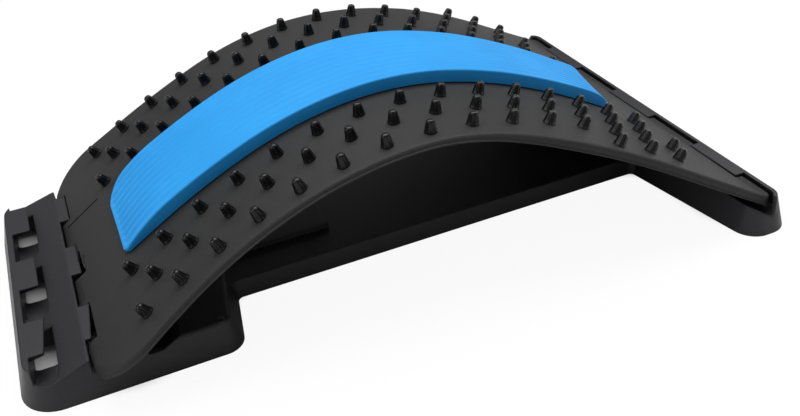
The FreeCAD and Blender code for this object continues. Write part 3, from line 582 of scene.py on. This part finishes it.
def foamTop():
    # run, place across and height over a grid. The half width loses what each corner's circle takes. The height is the
    # thickness, less (1 - way to the end / taper) squared towards the ends, less a quarter round along the edges, less
    # the rib depth times (1 - rib) squared, where rib is a cosine wave across
    first, last = foam["start"], arch["length"] - foam["endMargin"]
    halfLength, wide, r = (last - first) / 2, foam["halfWidth"], foam["edgeRound"]
    across = np.linspace(-1, 1, foam["acrossSteps"])
    t = np.linspace(-1, 1, foam["alongSteps"])[:, None]
    t = np.sign(t) * (1 - (1 - np.abs(t)) ** foam["crowding"])
    toEnd = halfLength * (1 - np.abs(t))
    corner = np.where(t < 0, *(np.where(across < 0, near, far) for near, far in foam["corners"]))
    room = np.clip(corner - toEnd, 0, corner)
    half = wide - corner + np.sqrt(corner ** 2 - room ** 2)
    y = across * half
    taper = np.where(t < 0, foam["taper"], np.interp(y, (-wide, wide), foam["wideTaper"]))
    thinned = (foam["thickness"] - foam["endThickness"]) * np.clip(1 - toEnd / taper, 0, 1) ** 2
    toEdge = np.minimum((1 - np.abs(across)) * half, toEnd)
    drop = r - np.sqrt(r ** 2 - np.clip(r - toEdge, 0, r) ** 2)
    rib = 0.5 - 0.5 * np.cos(math.pi * foam["ribs"] * (y + wide) / wide)
    ribDepth = foam["ribDepth"] + foam["ribDepthEnd"] * np.clip(1 - toEnd / foam["ribFade"], 0, 1)
    groove = ribDepth * (1 - rib) ** 2 * np.clip((toEdge - foam["ribInset"]) / foam["ribBlend"], 0, 1)
    skew = foam["endSkew"] * y / wide * np.clip(t, 0, 1) ** foam["skewPower"]
    return (first + last) / 2 + halfLength * t + skew, y, foam["thickness"] - thinned - drop - groove


def foamStrip():
    # the top and its twin at the seat, both carried along the arch and joined by a wall round the rim
    run, y, top = foamTop()
    rows, columns = y.shape
    layers = []
    for height in (top, foam["seat"]):
        x, z, _ = archPoint(run, height)
        layers.append(np.stack([x, y, z], -1).reshape(-1, 3))
    grid, place = gridFaces(rows, columns), np.arange(rows * columns).reshape(rows, columns)
    rim = np.concatenate([place[0], place[1:, -1], place[-1, -2::-1], place[-2:0:-1, 0]])
    after = np.roll(rim, -1)
    wall = np.stack([rim, after, after + place.size, rim + place.size], -1)
    faces = np.concatenate([grid, grid[:, ::-1] + place.size, wall]).tolist()
    piece = newPiece("foamStrip", np.concatenate(layers), faces, foamFinish(), "board")
    evenShade(piece)
    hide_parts("foam_strip")


foamStrip()
print("stage: foam ready")

# the nubs, in mm; levels and widths are shares of the height and of the foot's radius
nub = {
    "height": 6.4,
    "foot": 3.15,
    "levels": (0, 0.05, 0.30, 0.60, 0.78, 0.87, 0.94, 0.98, 1.0),
    "widths": (1.0, 0.98, 0.89, 0.78, 0.71, 0.64, 0.52, 0.32, 0.0),
    "sides": 32,
    "flutes": 8,
    "fluteDepth": 0.50,
    "fluteLevels": (0, 0.08, 0.3, 0.75, 0.95),
    "fluteShares": (0.2, 1, 1, 1, 0),
    "seat": 0.05,
    "start": 33.9,
    "end": 36.9,
    "rows": 29,
    "firstRows": {"inner": 0, "middle": 1, "outer": 0, "flare": 23},  # each column takes every second row from here
    "firstColumn": 42.9,
    "columnStep": 16.8,
}


def nubForm():
    # rings of one tapering round column up to its tip, cut by flutes: radius = width - depth * (1 - |cos| ^ 1.5)
    levels, widths = np.array(nub["levels"])[:, None], np.array(nub["widths"])[:, None]
    turn = np.linspace(0, 2 * math.pi, nub["sides"], endpoint=False)
    depth = nub["fluteDepth"] * np.interp(levels, nub["fluteLevels"], nub["fluteShares"])
    radius = nub["foot"] * widths - depth * (1 - np.abs(np.cos(turn * nub["flutes"] / 2)) ** 1.5)
    return np.stack([radius * np.cos(turn), radius * np.sin(turn), levels * nub["height"] + 0 * turn], -1).reshape(-1, 3)


def nubColumn(side, sideName, column, columnName):
    # copies of the nub, each turned by the arch's slope at its place: x = place + along * cos - up * sin,
    # z = place + along * sin + up * cos
    along, sideways, up = nubForm().T
    step = (arch["length"] - nub["start"] - nub["end"]) / (nub["rows"] - 1)
    rows = np.arange(nub["firstRows"][columnName], nub["rows"], 2)[:, None]
    x, z, slope = archPoint(nub["start"] + rows * step, nub["seat"])
    across = side * (nub["firstColumn"] + column * nub["columnStep"])
    points = np.stack([x + along * np.cos(slope) - up * np.sin(slope), across + sideways + 0 * x,
                       z + along * np.sin(slope) + up * np.cos(slope)], -1).reshape(-1, 3)
    faces = ringFaces(len(nub["levels"]), nub["sides"], len(rows))
    piece = newPiece(f"nubs{sideName.title()}{columnName.title()}", points, faces, nubPlastic, "board")
    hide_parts(f"nubs_{sideName}_{columnName}")


for side, sideName in ((-1, "near"), (1, "far")):
    for column, columnName in enumerate(nub["firstRows"]):
        nubColumn(side, sideName, column, columnName)
print("stage: nubs ready")

# floor and light, in metres
studio = {
    "floorSize": 6.0,
    "floorTone": colour(236, 236, 236),
    "floorGlow": 0.93,
    "holeReach": 0.030,  # how near a wall must be to shade the floor
    "holeOpen": (0.22, 0.50),  # open share from which the glow starts, and at which it is full
    "world": 0.30,
}


def floorFinish():
    # near white for the camera, but matte for every other ray and where the base walls the floor in
    f = Finish(bpy.data.materials.new("paleFloor"))
    start, full = studio["holeOpen"]
    openness = f.add("AmbientOcclusion", output=1, Distance=studio["holeReach"])
    clear = f.add("MapRange", {"clamp": True}, Value=openness, From_Min=start, From_Max=full)
    seen = f.add("LightPath", output="Is Camera Ray")
    glow = f.add("Emission", Color=(1, 1, 1, 1), Strength=1.0)
    matte = f.add("BsdfDiffuse", Color=studio["floorTone"])
    return f.finish(f.add("MixShader", i0=seen * studio["floorGlow"] * clear, i1=matte, i2=glow))


def worldFinish():
    # white for the camera, and a share of it for every other ray
    f = Finish(bpy.data.worlds.new("studioWorld"))
    seen = f.add("LightPath", output="Is Camera Ray")
    strength = seen * (1 - studio["world"]) + studio["world"]
    return f.finish(f.add("Background", Color=(1, 1, 1, 1), Strength=strength), "OutputWorld")


bpy.ops.mesh.primitive_plane_add(size=studio["floorSize"], location=(0, 0, cadLow.z))
floor = bpy.context.object
floor.name = "studioFloor"
floor.data.materials.append(floorFinish())
bpy.context.scene.world = worldFinish()

lamps = {
    "overheadSoftbox": {"place": (0.15, 0.35, 1.30), "aim": (0, 0, 0.03), "size": (1.4, 0.9), "watts": 20},
    "leftSoftbox": {"place": (-1.10, -0.10, 0.85), "aim": (0, 0, 0.05), "size": (0.8, 0.8), "watts": 6},
    "rightSoftbox": {"place": (1.10, 0.30, 0.80), "aim": (0, 0, 0.05), "size": (0.8, 0.8), "watts": 4},
    "frontFill": {"place": (0.30, -1.20, 0.70), "aim": (0, 0, 0.03), "size": (0.9, 0.6), "watts": 1.0},
}
for name, lamp in lamps.items():
    light = bpy.data.lights.new(name, "AREA")
    light.shape, light.energy = "RECTANGLE", lamp["watts"]
    light.size, light.size_y = lamp["size"]
    softbox = bpy.data.objects.new(name, light)
    bpy.context.collection.objects.link(softbox)
    softbox.location = lamp["place"]
    softbox.rotation_euler = (Vector(lamp["aim"]) - Vector(lamp["place"])).to_track_quat("-Z", "Y").to_euler()
print("stage: studio ready")

# the camera fitted to the photograph; place in mm, then its three directions
camera = {
    "place": (-132.4135, -386.85, 277.162),
    "right": (0.91107354, -0.40774438, -0.06074153),
    "down": (-0.27698215, -0.49632868, -0.82276287),
    "ahead": (0.30532917, 0.76642179, -0.56512984),
    "lens": 39.0741,
    "sensor": 36.0,
}
eye = bpy.data.cameras.new("photoCamera")
eye.lens, eye.sensor_width = camera["lens"], camera["sensor"]
cameraObject = bpy.data.objects.new("photoCamera", eye)
bpy.context.collection.objects.link(cameraObject)
turn = Matrix((camera["right"], [-v for v in camera["down"]], [-v for v in camera["ahead"]])).transposed()
cameraObject.matrix_world = Matrix.Translation(Vector(camera["place"]) * mm) @ turn.to_4x4()
bpy.context.scene.camera = cameraObject
bpy.context.scene.view_settings.view_transform = "Standard"

print("stage: scene ready")
